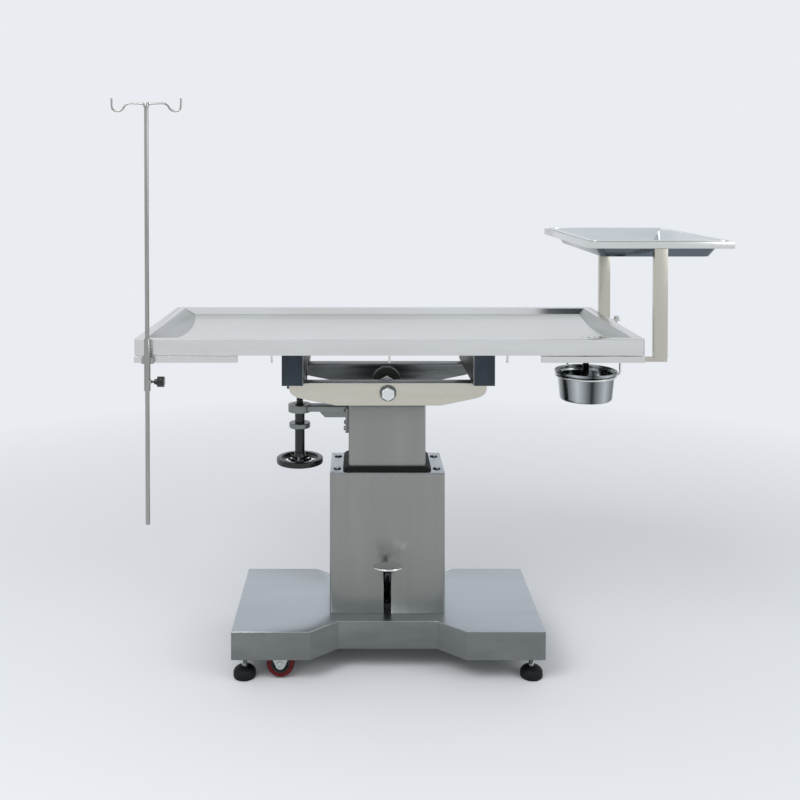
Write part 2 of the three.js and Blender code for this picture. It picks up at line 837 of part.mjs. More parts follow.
function handwheel() {
  const rim = solid(new THREE.TorusGeometry(wheelRimRadius, wheelRimTube, 8, 26));
  const bore = tailRadius + seat;
  const over = wheelHubOver - seat;
  const profile = [
    [bore, -wheelHubUnder],
    [wheelHubRadius * 0.7, -wheelHubUnder],
    [wheelHubRadius, -wheelHubUnder / 2],
    [wheelHubRadius, wheelHubOver / 3],
    [wheelHubRadius * 0.8, over],
    [bore, over],
    [bore, -wheelHubUnder],
  ];
  let wheel = rim.add(turned(profile, 0, 0, 0, 24));
  const spokeStart = wheelHubRadius * 0.75;
  const spokeLength = wheelRimRadius - spokeStart;
  for (let k = 0; k < 3; k += 1) {
    const spokeX = spokeStart + spokeLength / 2;
    const spoke = block(spokeLength, spokeWidth, spokeThickness, spokeX, 0, -spokeThickness / 2);
    wheel = wheel.add(spoke.rotate([0, 0, 90 + k * 120]));
  }
  return wheel.translate([screwX, 0, handwheelHeight]);
}

function travelNut() {
  const body = block(nutWidth, nutDepth, nutHeight, screwX, 0, pivotHeight - nutHeight / 2);
  const pin = rod(trunnionRadius, trunnionLength, 'y', screwX, -trunnionLength / 2, pivotHeight, 16);
  const bore = rod(screwRadius + seat, nutHeight + 2, 'z', screwX, 0, pivotHeight - nutHeight / 2 - 1, 16);
  return body.add(pin).subtract(bore);
}

// Slotted lugs under the left cross member carry the nut's trunnions
function nutLug(side) {
  const radius = trunnionRadius + slotPlay;
  const width = crossWidth - crossWall;
  const bottom = pivotHeight - radius - 7;
  const roof = topHeight - floorEdgeDepth - floorSag - sheet - 2 * crossWall - 2 * seat;
  const y = side > 0 ? nutLugY - nutLugThickness / 2 : -nutLugY - nutLugThickness / 2;
  const plate = block(width, nutLugThickness, roof - bottom, -crossX, y + nutLugThickness / 2, bottom);
  const slot = new THREE.Shape();
  slot.absarc(slotRun / 2, 0, radius, -Math.PI / 2, Math.PI / 2);
  slot.absarc(-slotRun / 2, 0, radius, Math.PI / 2, Math.PI * 1.5);
  const cut = upright(slot, y - 1, nutLugThickness + 2, 6).translate([screwX, 0, pivotHeight]);
  return plate.subtract(cut);
}

// Hydraulics: barrel and ram on the bed plate, pump block with the pedal lever
function barrel() {
  const z = bedTop + seat;
  const tube = rod(barrelRadius, barrelTop - z, 'z', 0, cylinderY, z, 24);
  return tube.subtract(rod(ramRadius + slip, barrelTop, 'z', 0, cylinderY, z + barrelFloor, 24));
}

function ram() {
  return rod(ramRadius, headZ - seat - ramBottom, 'z', 0, cylinderY, ramBottom, 24);
}

const earGap = leverWidth / 2 + slip;

function pinHole() {
  return rod(pedalPinRadius + seat, pumpWidth, 'x', -pumpWidth / 2, leverPivotY, leverPivotHeight, 12);
}

function pumpBody() {
  const z = bedTop + seat;
  const earHeight = leverPivotHeight + 2 * pedalPinRadius - z;
  let pump = block(pumpWidth, pumpDepth, pumpFloor, 0, pumpY, z);
  for (const side of [-1, 1]) {
    const earX = side * (earGap + pumpEar / 2);
    pump = pump.add(block(pumpEar, pumpEarDepth, earHeight, earX, leverPivotY, z));
  }
  const well = rod(plungerRadius + seat, pumpFloor + 2, 'z', 0, plungerY, z + 2, 14);
  return pump.subtract(pinHole()).subtract(well);
}

function pedalPin() {
  const half = earGap + pumpEar + 3;
  return rod(pedalPinRadius, 2 * half, 'x', -half, leverPivotY, leverPivotHeight, 12);
}

// The lever leaves the pump low down, climbs to the slot and ends under the tread
function pedalLever() {
  const frontY = -outerColumnY / 2;
  const topZ = pedalHeight - leverThickness / 2;
  const side = polygon([
    [leverPivotY + 12, leverPivotHeight - 10],
    [leverPivotY + 12, leverPivotHeight + 12],
    [frontY, leverExit],
    [pedalY + 16, topZ - 1],
    [pedalY - 12, topZ + 1],
    [pedalY - 12, topZ - 7],
    [frontY - 12, leverExit - leverThickness],
    [leverPivotY - 14, leverPivotHeight - 10],
  ]);
  const extrude = new THREE.ExtrudeGeometry(side, { depth: leverWidth, bevelEnabled: false });
  extrude.rotateX(Math.PI / 2);
  extrude.rotateZ(Math.PI / 2);
  const lever = solid(extrude.translate(-leverWidth / 2, 0, 0));
  return lever.subtract(pinHole());
}

const pedalTilt = 8;

function pedalTread() {
  const profile = [
    [0, 0],
    [pedalRadius - 6, 0],
    [pedalRadius - 1, 2],
    [pedalRadius, 5],
    [pedalRadius - 3, 7],
    [pedalRadius - 8, 5.5],
    [0, 4],
  ];
  return turned(profile, 0, 0, 0, 28).rotate([-pedalTilt, 0, 0]).translate([0, pedalY, pedalHeight]);
}

function plunger() {
  const bottom = bedTop + seat + 12;
  const top = leverPivotHeight - 11;
  return rod(plungerRadius, top - bottom, 'z', 0, plungerY, bottom, 12);
}

// Drip pole in its clamped sleeve
const sleeveRadius = poleRadius + slip + sleeveWall;
const poleY = -topWidth / 2 - sleeveGap - sleeveRadius;

function poleSleeve() {
  const outer = rod(sleeveRadius, sleeveTop - sleeveBottom, 'z', poleX, poleY, sleeveBottom, 20);
  const railFace = -railY - railSize / 2 - seat;
  const reach = railFace - poleY;
  const bracket = block(30, reach, railSize, poleX, poleY + reach / 2, railTop - railSize);
  const boss = rod(5.5, sleeveRadius + 2, 'x', poleX, poleY, knobHeight, 14);
  const bore = rod(poleRadius + slip, sleeveTop - sleeveBottom + 2, 'z', poleX, poleY, sleeveBottom - 1, 20);
  const thread = rod(3 + seat, 40, 'x', poleX, poleY, knobHeight, 12);
  return outer.add(bracket).add(boss).subtract(bore).subtract(thread);
}

function pole() {
  return rod(poleRadius, poleTop - poleBottom, 'z', poleX, poleY, poleBottom, 16);
}

function knobOutline() {
  const points = [];
  const lobes = 6;
  for (let k = 0; k < lobes * 6; k += 1) {
    const angle = (k * Math.PI) / (lobes * 3);
    const radius = knobRadius - 1.6 + 1.6 * Math.cos(lobes * angle);
    points.push([radius * Math.cos(angle), radius * Math.sin(angle)]);
  }
  return polygon(points);
}

function poleKnob() {
  const stemX = poleX + poleRadius + slip + 0.6;
  const bossEnd = sleeveRadius + 2 + seat;
  const stem = rod(3, bossEnd + knobStem, 'x', stemX, poleY, knobHeight, 12);
  const head = prism(knobOutline(), 0, knobLength).rotate([0, 90, 0]);
  const headX = poleX + bossEnd + knobStem;
  const neck = rod(7, 8, 'x', headX - 7, poleY, knobHeight, 14);
  return stem.add(neck).add(head.translate([headX, poleY, knobHeight]));
}

function poleHooks() {
  const z = poleTop + hookCap / 2;
  const side = [
    [0, 0],
    [hookHalfSpan * 0.28, hookRise * 0.8],
    [hookHalfSpan * 0.52, hookRise],
    [hookHalfSpan * 0.68, -hookDip * 0.46],
    [hookHalfSpan * 0.82, -hookDip],
    [hookHalfSpan * 0.94, -hookDip * 0.23],
    [hookHalfSpan, hookTip],
  ];
  const left = side.slice(1).reverse().map(([x, height]) => new THREE.Vector3(-x, 0, height));
  const right = side.map(([x, height]) => new THREE.Vector3(x, 0, height));
  const bend = wire(new THREE.CatmullRomCurve3([...left, ...right]), hookWire, 30, 2);
  const cap = rod(poleRadius + sleeveWall, hookCap, 'z', 0, 0, seat - hookCap / 2, 16);
  return bend.add(cap).translate([poleX, poleY, z]);
}

// Instrument tray: arms in the right rails, posts, frame bars and a pan that lifts out
const armSize = railSize - 2 * railWall - 2 * slip;
const armZ = railTop - railSize + railWall + slip;

function trayPost(sy) {
  const right = trayCentreX + postWidth / 2;
  const arm = block(armReach, armSize, armSize, right - armReach / 2, sy * railY, armZ);
  const bottom = armZ + armSize - 1;
  const height = trayFrameTop - trayBar - seat - bottom;
  const post = arm.add(block(postWidth, postDepth, height, trayCentreX, sy * railY, bottom));
  return sy > 0 ? post.add(clampTab()) : post;
}

const frameHalfX = trayFrameX / 2;
const frameHalfY = railY + trayBar / 2;

function trayCrossBar(sy) {
  return block(trayFrameX, trayBar, trayBar, trayCentreX, sy * railY, trayFrameTop - trayBar);
}

function traySideBar(sx) {
  const length = 2 * (frameHalfY - trayBar - seat);
  const x = trayCentreX + sx * (frameHalfX - trayBar / 2);
  return block(trayBar, length, trayBar, x, 0, trayFrameTop - trayBar);
}

function panHull(offset) {
  const topX = frameHalfX - trayBar - 2 - offset;
  const topY = frameHalfY - trayBar - 2 - offset;
  const floorZ = trayFrameTop - panDepth + offset;
  const lip = offset > 0 ? trayFrameTop + 6 : trayFrameTop + seat + panSheet;
  const points = [];
  const layers = [[topX, topY, lip], [topX, topY, trayFrameTop], [topX - panTaper, topY - panTaper, floorZ]];
  for (const [x, y, z] of layers) {
    const radius = 18;
    for (let k = 0; k < 16; k += 1) {
      const angle = ((Math.floor(k / 4) + (k % 4) / 3) * Math.PI) / 2;
      const sx = [1, -1, -1, 1][Math.floor(k / 4)];
      const sy = [1, 1, -1, -1][Math.floor(k / 4)];
      const px = sx * (x - radius) + radius * Math.cos(angle);
      const py = sy * (y - radius) + radius * Math.sin(angle);
      points.push(new THREE.Vector3(trayCentreX + px, py, z));
    }
  }
  return solid(new ConvexGeometry(points));
}

function trayPan() {
  const rimX = 2 * (frameHalfX - trayBar + panFlange);
  const rimY = 2 * (frameHalfY - trayBar + panFlange);
  const rim = prism(roundedRect(rimX, rimY, 24), trayFrameTop + seat, panSheet);
  return panHull(0).add(rim.translate([trayCentreX, 0, 0])).subtract(panHull(panSheet));
}

// Clamp at the rear rail: a tab on the post foot and a vertical screw
function clampTab() {
  const x = trayCentreX + postWidth / 2;
  const tab = block(34, 16, 4, x + 16, railY, armZ + armSize + 6);
  return tab.subtract(rod(4 + seat, 10, 'z', x + 22, railY, armZ + armSize + 3, 12));
}

function clampScrew() {
  const x = trayCentreX + postWidth / 2 + 22;
  const z = armZ + armSize + 6;
  const shank = rod(4, 26, 'z', x, railY, z - 12, 12);
  const head = rod(7.5, 10, 'z', x, railY, z + 4 + seat, 16);
  return shank.add(head);
}

// Bucket in a wire hoop under the drain
function bucket() {
  const r = bucketRadius;
  const b = bucketBottomRadius;
  const h = bucketHeight;
  const s = bucketSheet;
  const f = bucketFillet;
  const profile = [
    [0, -h],
    [b - f, -h],
    [b, -h + f],
    [r, -bucketLip],
    [bucketRimRadius, -bucketLip / 2],
    [bucketRimRadius, 0],
    [bucketRimRadius - s, 0],
    [r - s, s - bucketLip],
    [b - s, -h + f + s],
    [b - f - s, -h + s],
    [0, -h + s],
  ];
  return turned(profile, bucketX, drainY, bucketRimTop, 28);
}

function bucketHoop() {
  const hoopZ = bucketRimTop - hoopDrop;
  const radius = bucketRadius + hoopWire + slip;
  const ring = solid(new THREE.TorusGeometry(radius, hoopWire, 6, 28)).translate([bucketX, drainY, hoopZ]);
  const legTop = rimBottom + rimHeight - floorEdgeDepth - floorSag - sheet - 2 - hoopZ;
  let hoop = ring;
  for (const angle of [0, 110]) {
    const out = bucketRimRadius + hoopWire + hoopLegGap;
    const path = new THREE.CatmullRomCurve3([
      new THREE.Vector3(radius, 0, 0),
      new THREE.Vector3(out - 2, 0, 3),
      new THREE.Vector3(out, 0, 14),
      new THREE.Vector3(out, 0, 34),
      new THREE.Vector3(out, 0, legTop),
    ]);
    const leg = wire(path, hoopWire, 9, 2);
    hoop = hoop.add(leg.rotate([0, 0, angle]).translate([bucketX, drainY, hoopZ]));
  }
  return hoop.subtract(dish(sheet + seat));
}

// Assembly
const corners = [
  ['front_left', -1, -1],
  ['front_right', 1, -1],
  ['rear_left', -1, 1],
  ['rear_right', 1, 1],
];
const table = new THREE.Group();
const base = new THREE.Group();
base.add(piece('base_cover', baseCover(), satinSteel));
base.add(piece('base_frame', baseFrame(), castIron));
base.add(piece('outer_column', outerColumn(), satinSteel));
base.add(piece('column_cap', columnCap(), satinSteel));
base.add(piece('column_gasket', gasket(), blackRubber));
base.add(piece('upper_guide', upperGuide(), nylon));
base.add(piece('hydraulic_barrel', barrel(), castIron));
base.add(piece('pump_body', pumpBody(), castIron));
base.add(piece('pedal_pin', pedalPin(), zinc));
base.add(piece('pedal_lever', pedalLever(), blackPlastic));
base.add(piece('pedal_tread', pedalTread(), steel));
base.add(piece('pump_plunger', plunger(), chrome));
for (const [corner, sx, sy] of corners) {
  base.add(piece(`foot_${corner}`, foot(sx * footX, sy * footY), blackRubber));
}
for (const [end, sy] of [['front', -1], ['rear', 1]]) {
  base.add(piece(`caster_fork_${end}`, casterFork(sy * casterY), zinc));
  base.add(piece(`caster_hub_${end}`, casterHub(sy * casterY), blackPlastic));
  base.add(piece(`caster_tyre_${end}`, casterTyre(sy * casterY), redTyre));
}

const lift = new THREE.Group();
lift.add(piece('inner_column', innerColumn(), satinSteel));
lift.add(piece('lower_guide', lowerGuide(), nylon));
lift.add(piece('head_plate', block(innerColumnX, innerColumnY, headThickness, 0, 0, headZ), satinSteel));
lift.add(piece('hydraulic_ram', ram(), chrome));
lift.add(piece('pivot_lug', pivotLug(), slateSteel));
lift.add(piece('pivot_bolt', pivotBolt(), zinc));
lift.add(piece('screw_arm', screwArm(), satinSteel));
lift.add(piece('screw_bush', screwBush(), bronze));
lift.add(piece('tilt_screw', tiltScrew(), blackPlastic));
lift.add(piece('handwheel', handwheel(), blackPlastic));
lift.add(piece('travel_nut', travelNut(), bronze));

const top = new THREE.Group();
top.add(piece('table_top', tableTop(), steel));
top.add(piece('cross_member_left', crossMember(-1), slateSteel));
top.add(piece('cross_member_right', crossMember(1), slateSteel));
top.add(piece('tilt_plate_front', tiltPlate(-1), steel));
top.add(piece('tilt_plate_rear', tiltPlate(1), steel));
top.add(piece('pivot_bush_front', pivotBush(-1), bronze));
top.add(piece('pivot_bush_rear', pivotBush(1), bronze));
top.add(piece('drain_spout', drainSpout(), chrome));
top.add(piece('drain_strainer', drainStrainer(), chrome));
for (const [corner, sx, sy] of corners) {
  top.add(piece(`rail_${corner}`, rail(sx, sy), steel));
}
top.add(piece('pole_sleeve', poleSleeve(), steel));
top.add(piece('pole_knob', poleKnob(), blackPlastic));
top.add(piece('drip_pole', pole(), chrome));
top.add(piece('pole_hooks', poleHooks(), chrome));
top.add(piece('tray_pan', trayPan(), chrome));
for (const [end, sy] of [['front', -1], ['rear', 1]]) {
  top.add(piece(`tray_post_${end}`, trayPost(sy), steel));
  top.add(piece(`tray_bar_${end}`, trayCrossBar(sy), steel));
}
top.add(piece('clamp_screw', clampScrew(), zinc));
top.add(piece('tray_bar_left', traySideBar(-1), steel));
top.add(piece('tray_bar_right', traySideBar(1), steel));
top.add(piece('bucket', bucket(), chrome));
top.add(piece('bucket_hoop', bucketHoop(), steel));
table.add(base, lift, top);

// The origin is the middle of the table's own footprint, on the floor
const extent = new THREE.Box3().setFromObject(table);
const middle = extent.getCenter(new THREE.Vector3());
table.position.set(-middle.x, -middle.y, -extent.min.z);

export default table;
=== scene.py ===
# Veterinary exam table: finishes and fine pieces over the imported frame, in metres, +Z up.
import math

import bpy
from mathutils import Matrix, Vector


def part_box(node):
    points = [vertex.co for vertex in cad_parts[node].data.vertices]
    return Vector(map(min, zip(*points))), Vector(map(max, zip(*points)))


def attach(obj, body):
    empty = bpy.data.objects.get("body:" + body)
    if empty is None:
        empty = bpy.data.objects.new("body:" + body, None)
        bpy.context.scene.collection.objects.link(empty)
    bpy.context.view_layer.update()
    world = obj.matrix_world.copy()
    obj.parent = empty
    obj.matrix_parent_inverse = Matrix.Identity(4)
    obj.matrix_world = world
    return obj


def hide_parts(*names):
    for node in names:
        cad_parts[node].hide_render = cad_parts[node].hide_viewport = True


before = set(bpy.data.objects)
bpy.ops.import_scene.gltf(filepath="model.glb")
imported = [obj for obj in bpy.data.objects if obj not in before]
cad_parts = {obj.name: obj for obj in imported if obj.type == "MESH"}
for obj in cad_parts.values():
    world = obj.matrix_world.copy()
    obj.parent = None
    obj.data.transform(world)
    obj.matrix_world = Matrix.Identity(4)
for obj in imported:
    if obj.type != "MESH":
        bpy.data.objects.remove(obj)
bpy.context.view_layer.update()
scene = bpy.context.scene
MM = 0.001


# Colours and nodes
def linear(hexcode):
    """An sRGB hex colour as linear red, green, blue, alpha."""
    parts = [int(hexcode[k:k + 2], 16) / 255 for k in (1, 3, 5)]
    return [p / 12.92 if p <= 0.04045 else ((p + 0.055) / 1.055) ** 2.4 for p in parts] + [1.0]


def put(tree, kind, sockets=(), **settings):
    """Adds a node with its settings; a socket given as a value links to that socket."""
    made = tree.nodes.new(kind)
    for key, value in settings.items():
        setattr(made, key, value)
    for socket, value in dict(sockets).items():
        if isinstance(value, bpy.types.NodeSocket):
            tree.links.new(value, made.inputs[socket])
        else:
            made.inputs[socket].default_value = value
    return made


def ramp_stops(ramp, stops):
    """Sets a colour ramp to the given places and colours."""
    while len(ramp.elements) < len(stops):
        ramp.elements.new(0.5)
    for element, (place, colour) in zip(ramp.elements, stops):
        element.position = place
        element.color = colour


def shade(level):
    return [level, level, level, 1.0]


# Finishes
def finish(name, tones, grain_mm, metallic, rough, bump_mm, specular=0.5):
    """A surface of varied tone: grain_mm is the pattern's size along X, Y and Z."""
    made = bpy.data.materials.new(name)
    made.use_nodes = True
    tree = made.node_tree
    tree.nodes.clear()
    place = put(tree, "ShaderNodeTexCoord")
    scaled = put(tree, "ShaderNodeMapping", {"Vector": place.outputs["Object"],
                 "Scale": [1 / (g * MM) for g in grain_mm]})
    grain = put(tree, "ShaderNodeTexNoise", {"Vector": scaled.outputs["Vector"], "Scale": 1.0,
                "Detail": 4.0, "Roughness": 0.6})
    tone = put(tree, "ShaderNodeValToRGB", {"Fac": grain.outputs["Fac"]})
    ramp_stops(tone.color_ramp, [(0.32, linear(tones[0])), (0.68, linear(tones[1]))])
    gloss = put(tree, "ShaderNodeValToRGB", {"Fac": grain.outputs["Fac"]})
    ramp_stops(gloss.color_ramp, [(0.3, shade(rough[0])), (0.7, shade(rough[1]))])
    relief = put(tree, "ShaderNodeBump", {"Height": grain.outputs["Fac"], "Distance": bump_mm * MM,
                 "Strength": 0.5})
    skin = put(tree, "ShaderNodeBsdfPrincipled", {"Base Color": tone.outputs["Color"],
               "Metallic": metallic, "Roughness": gloss.outputs["Color"],
               "Normal": relief.outputs["Normal"], "Specular IOR Level": specular})
    put(tree, "ShaderNodeOutputMaterial", {"Surface": skin.outputs["BSDF"]})
    return made


# Stainless sheet polished along its length: pale and bright, with broad faint patches
polished = finish("polished stainless sheet", ("#D3D3CF", "#D9DBDA"), (420, 300, 60), 1.0,
                  (0.2, 0.24), 0.0015)
# The same sheet stood up as posts, so that the polish runs up and down; a little warmer
polished_upright = finish("polished stainless upright", ("#BDBAAE", "#C5C2B7"), (30, 30, 500), 1.0,
                          (0.24, 0.3), 0.003)
# Cream-toned polished plate of the tilt frame
cream_plate = finish("polished tilt plate", ("#C6C2B4", "#CBC7BA"), (500, 30, 30), 1.0, (0.24, 0.3), 0.003)
# The same plate where it faces the mechanism, painted greyer and duller as shade
plate_painted_shade = finish("tilt plate inside, painted shade", ("#5C6060", "#7C8080"), (160, 60, 14), 1.0, (0.3, 0.42), 0.01)
# The dish where its ends slope, which see less of the room: the same sheet, painted greyer as shade
end_slope_painted_shade = finish("polished sheet, painted shade on the end slopes", ("#9A9D9C", "#A9ACAB"), (300, 300, 60), 1.0,
                   (0.2, 0.26), 0.0015)
# Stainless brushed up the column: broad soft streaks drawn upwards, mid grey and satin
satin = finish("satin stainless column", ("#8D8E8A", "#939490"), (40, 40, 600), 1.0, (0.32, 0.36), 0.0015)
# The base cover's top sheet, brushed along the base, painted paler as light on the top
cover_top_painted_light = finish("satin stainless cover, painted light on top", ("#B0B6BB", "#B8BEC2"), (600, 40, 40), 1.0, (0.3, 0.34), 0.0015)
# The cover's folded sides, with the grain across the fold, painted darker as shade
satin_painted_shade = finish("satin stainless fold, painted shade", ("#747877", "#868A88"), (260, 260, 90), 1.0, (0.3, 0.38), 0.004)
# Folded edges painted bright as a highlight
painted_highlight = finish("burnished edge", ("#B4B8B8", "#C8CBCB"), (40, 40, 40), 1.0, (0.2, 0.28), 0.0)
# Smooth cold-rolled stainless painted slate dark as shade and dark reflection, with broad soft mottle
slate_painted_shade = finish("slate stainless", ("#343A40", "#41484E"), (60, 60, 90), 1.0, (0.26, 0.36), 0.008)
# Inner walls that see only the shaded mechanism, painted near black olive as shade
inner_painted_shade = finish("inner wall, painted shade", ("#242620", "#33352E"), (50, 50, 50), 0.6, (0.4, 0.55), 0.01)
# Bright zinc plate: pale with small soft spangle
zinc = finish("bright zinc plate", ("#AEB6B2", "#C6CCC8"), (5, 5, 5), 1.0, (0.26, 0.38), 0.015)
# New zinc plate on the pivot bolt: whiter and glossier than the rest
bright_zinc = finish("new zinc plate", ("#D6DAD8", "#E4E7E5"), (8, 8, 8), 1.0, (0.2, 0.28), 0.004)
# Drawn stainless rod and wire: mid grey, polished along its length
drawn_rod = finish("drawn stainless rod", ("#959792", "#A9AAA5"), (30, 30, 240), 1.0, (0.18, 0.24), 0.002)
# Moulded black plastic: half gloss over a fine spark-eroded grain
black_plastic = finish("moulded black plastic", ("#0A0B0C", "#111315"), (1.2, 1.2, 1.2), 0.0,
                       (0.16, 0.26), 0.02)
# Black rubber: matt with a grey bloom
rubber = finish("black rubber", ("#0A0C0D", "#131617"), (3, 3, 3), 0.0, (0.5, 0.7), 0.06, specular=0.22)
# Solid polyurethane tyre: dark red, dulled where it rolls
tyre_red = finish("dark red tyre", ("#4E0B0B", "#661010"), (6, 6, 6), 0.0, (0.4, 0.55), 0.05, specular=0.22)
# Cast nylon: milky white with a slight wax gloss
nylon = finish("cast nylon", ("#DCDAD2", "#ECEAE3"), (8, 8, 8), 0.0, (0.45, 0.55), 0.02)
# Dark paint on iron castings: uneven as sprayed
painted_iron = finish("dark paint on iron", ("#2C3033", "#3A3F42"), (3, 3, 3), 0.0, (0.45, 0.6), 0.1)
# Bearing bronze: turned, warm
bronze = finish("bearing bronze", ("#8F7650", "#A68C62"), (3, 3, 0.6), 1.0, (0.3, 0.42), 0.02)
# Mirror-polished stainless: nearly clean, with faint smears
mirror = finish("mirror stainless", ("#BCC1C1", "#D3D7D7"), (60, 60, 60), 1.0, (0.05, 0.12), 0.0)
# Deep-drawn stainless inside the pan: bright, with broad faint waves
pan_inside = finish("drawn pan inside", ("#CFD4D6", "#DDE1E2"), (400, 400, 60), 1.0, (0.08, 0.12), 0.0)
# The same sheet outside, in the frame's shade: painted darker as shade
pan_outside_painted_shade = finish("drawn pan outside, painted shade", ("#5E666C", "#6E777D"), (400, 400, 60), 1.0, (0.08, 0.14), 0.0)


def mirror_painted_reflection_bands(name, centre, bands):
    """Mirror sheet rolled into a drum, with painted reflections: dark and bright bands stand upright round it.
    """
    made = bpy.data.materials.new(name)
    made.use_nodes = True
    tree = made.node_tree
    tree.nodes.clear()
    place = put(tree, "ShaderNodeTexCoord")
    centred = put(tree, "ShaderNodeMapping", {"Vector": place.outputs["Object"],
                  "Location": [-c for c in centre]})
    angle = put(tree, "ShaderNodeTexGradient", {"Vector": centred.outputs["Vector"]}, gradient_type="RADIAL")
    tone = put(tree, "ShaderNodeValToRGB", {"Fac": angle.outputs["Fac"]})
    ramp_stops(tone.color_ramp, [(place_on, linear(colour)) for place_on, colour in bands])
    smear = put(tree, "ShaderNodeTexNoise", {"Vector": place.outputs["Object"], "Scale": 30.0})
    gloss = put(tree, "ShaderNodeMapRange", {"Value": smear.outputs["Fac"], "To Min": 0.06, "To Max": 0.14})
    skin = put(tree, "ShaderNodeBsdfPrincipled", {"Base Color": tone.outputs["Color"], "Metallic": 1.0,
               "Roughness": gloss.outputs["Result"]})
    put(tree, "ShaderNodeOutputMaterial", {"Surface": skin.outputs["BSDF"]})
    return made


# Shaping
def begin():
    if bpy.context.mode != "OBJECT":
        bpy.ops.object.mode_set(mode="OBJECT")
    bpy.ops.object.select_all(action="DESELECT")


def alone(piece):
    begin()
    piece.select_set(True)
    bpy.context.view_layer.objects.active = piece


def apply_all(piece):
    alone(piece)
    for step in [m.name for m in piece.modifiers]:
        bpy.ops.object.modifier_apply(modifier=step)


def soften(piece, width, segments=2, angle=30, slot=-1):
    """Rounds the sharp edges of a piece by a width in millimetres; slot is the material on them."""
    edge = piece.modifiers.new("edge", "BEVEL")
    edge.width = width * MM
    edge.segments = segments
    edge.limit_method = "ANGLE"
    edge.angle_limit = math.radians(angle)
    edge.use_clamp_overlap = True
    edge.material = slot
    apply_all(piece)


def settle(piece, name, body, slot, material, *nodes, smooth=35):
    """Puts the place into the mesh, then gives the piece its finish, body and node."""
    alone(piece)
    bpy.ops.object.transform_apply(location=True, rotation=True, scale=True)
    bpy.ops.object.shade_smooth_by_angle(angle=math.radians(smooth))
    piece.name = name
    piece.data.name = name
    if material:
        piece.data.materials.clear()
        piece.data.materials.append(material)
    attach(piece, body)
    if nodes:
        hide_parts(*nodes)
    return piece


def merged_copy(node):
    """A copy of a CAD node with its triangles joined and its flats made whole."""
    begin()
    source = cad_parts[node]
    piece = bpy.data.objects.new(node + "_sheet", source.data.copy())
    scene.collection.objects.link(piece)
    piece.matrix_world = source.matrix_world.copy()
    alone(piece)
    bpy.ops.object.mode_set(mode="EDIT")
    bpy.ops.mesh.select_all(action="SELECT")
    bpy.ops.mesh.remove_doubles(threshold=0.00002)
    bpy.ops.mesh.customdata_custom_splitnormals_clear()
    bpy.ops.mesh.dissolve_limited(angle_limit=math.radians(0.5))
    bpy.ops.object.mode_set(mode="OBJECT")
    return piece


def dressed(node, body, slot, material, width, segments=2, edge=None):
    """A CAD node with its edges rounded as the folded or machined piece has them."""
    piece = merged_copy(node)
    piece.data.materials.clear()
    piece.data.materials.append(material)
    if edge:
        piece.data.materials.append(edge)
    soften(piece, width, segments, slot=1 if edge else -1)
    return settle(piece, node + "_sheet", body, slot, None, node)


def paint(piece, material, chosen, over=0):
    """Gives a material to the faces with material number over for which chosen(normal, middle) holds."""
    piece.data.materials.append(material)
    count = len(piece.data.materials) - 1
    for face in piece.data.polygons:
        if face.material_index == over and chosen(face.normal, face.center):
            face.material_index = count


def lathe(profile, centre, axis="Z", sides=72):
    """Turns a closed profile of radius and height, in millimetres, about an axis."""
    begin()
    radius, height = profile[0]
    bpy.ops.mesh.primitive_circle_add(vertices=sides, radius=max(radius, 0.01) * MM, location=(0, 0, 0))
    piece = bpy.context.object
    bpy.ops.object.mode_set(mode="EDIT")
    bpy.ops.mesh.select_all(action="SELECT")
    bpy.ops.transform.translate(value=(0, 0, height * MM))
    for step_radius, step_height in profile[1:]:
        rise = (step_height - height) * MM
        bpy.ops.mesh.extrude_region_move(TRANSFORM_OT_translate={"value": (0, 0, rise)})
        share = max(step_radius, 0.01) / max(radius, 0.01)
        bpy.ops.transform.resize(value=(share, share, 1), center_override=(0, 0, step_height * MM))
        radius, height = step_radius, step_height
    bpy.ops.mesh.select_all(action="SELECT")
    bpy.ops.mesh.remove_doubles(threshold=0.00003)
    bpy.ops.mesh.normals_make_consistent(inside=False)
    bpy.ops.object.mode_set(mode="OBJECT")
    if axis == "Y":
        piece.rotation_euler = (math.radians(90), 0, 0)
    if axis == "X":
        piece.rotation_euler = (0, math.radians(90), 0)
    piece.location = centre
    return piece


def bent_wire(points, radius, resolution=6):
    """A round wire through points in metres, made a mesh."""
    begin()
    bpy.ops.curve.primitive_nurbs_path_add()
    wire = bpy.context.object
    spline = wire.data.splines[0]
    spline.points.add(len(points) - len(spline.points))
    for knot, place in zip(spline.points, points):
        knot.co = (*place, 1)
    spline.use_endpoint_u = True
    spline.order_u = 3
    spline.resolution_u = resolution
    wire.data.bevel_depth = radius
    wire.data.bevel_resolution = 5
    wire.data.use_fill_caps = True
    bpy.ops.object.convert(target="MESH")
    return bpy.context.object


def middle(node):
    low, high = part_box(node)
    return (Vector(low) + Vector(high)) / 2


def joined(pieces):
    begin()
    for piece in pieces:
        piece.select_set(True)
    bpy.context.view_layer.objects.active = pieces[0]
    bpy.ops.object.join()
    return bpy.context.object


def copy_at(piece, place):
    """Another one of a piece, with its own mesh, moved to a place."""
    made = bpy.data.objects.new(piece.name, piece.data.copy())
    scene.collection.objects.link(made)
    made.location = place
    return made


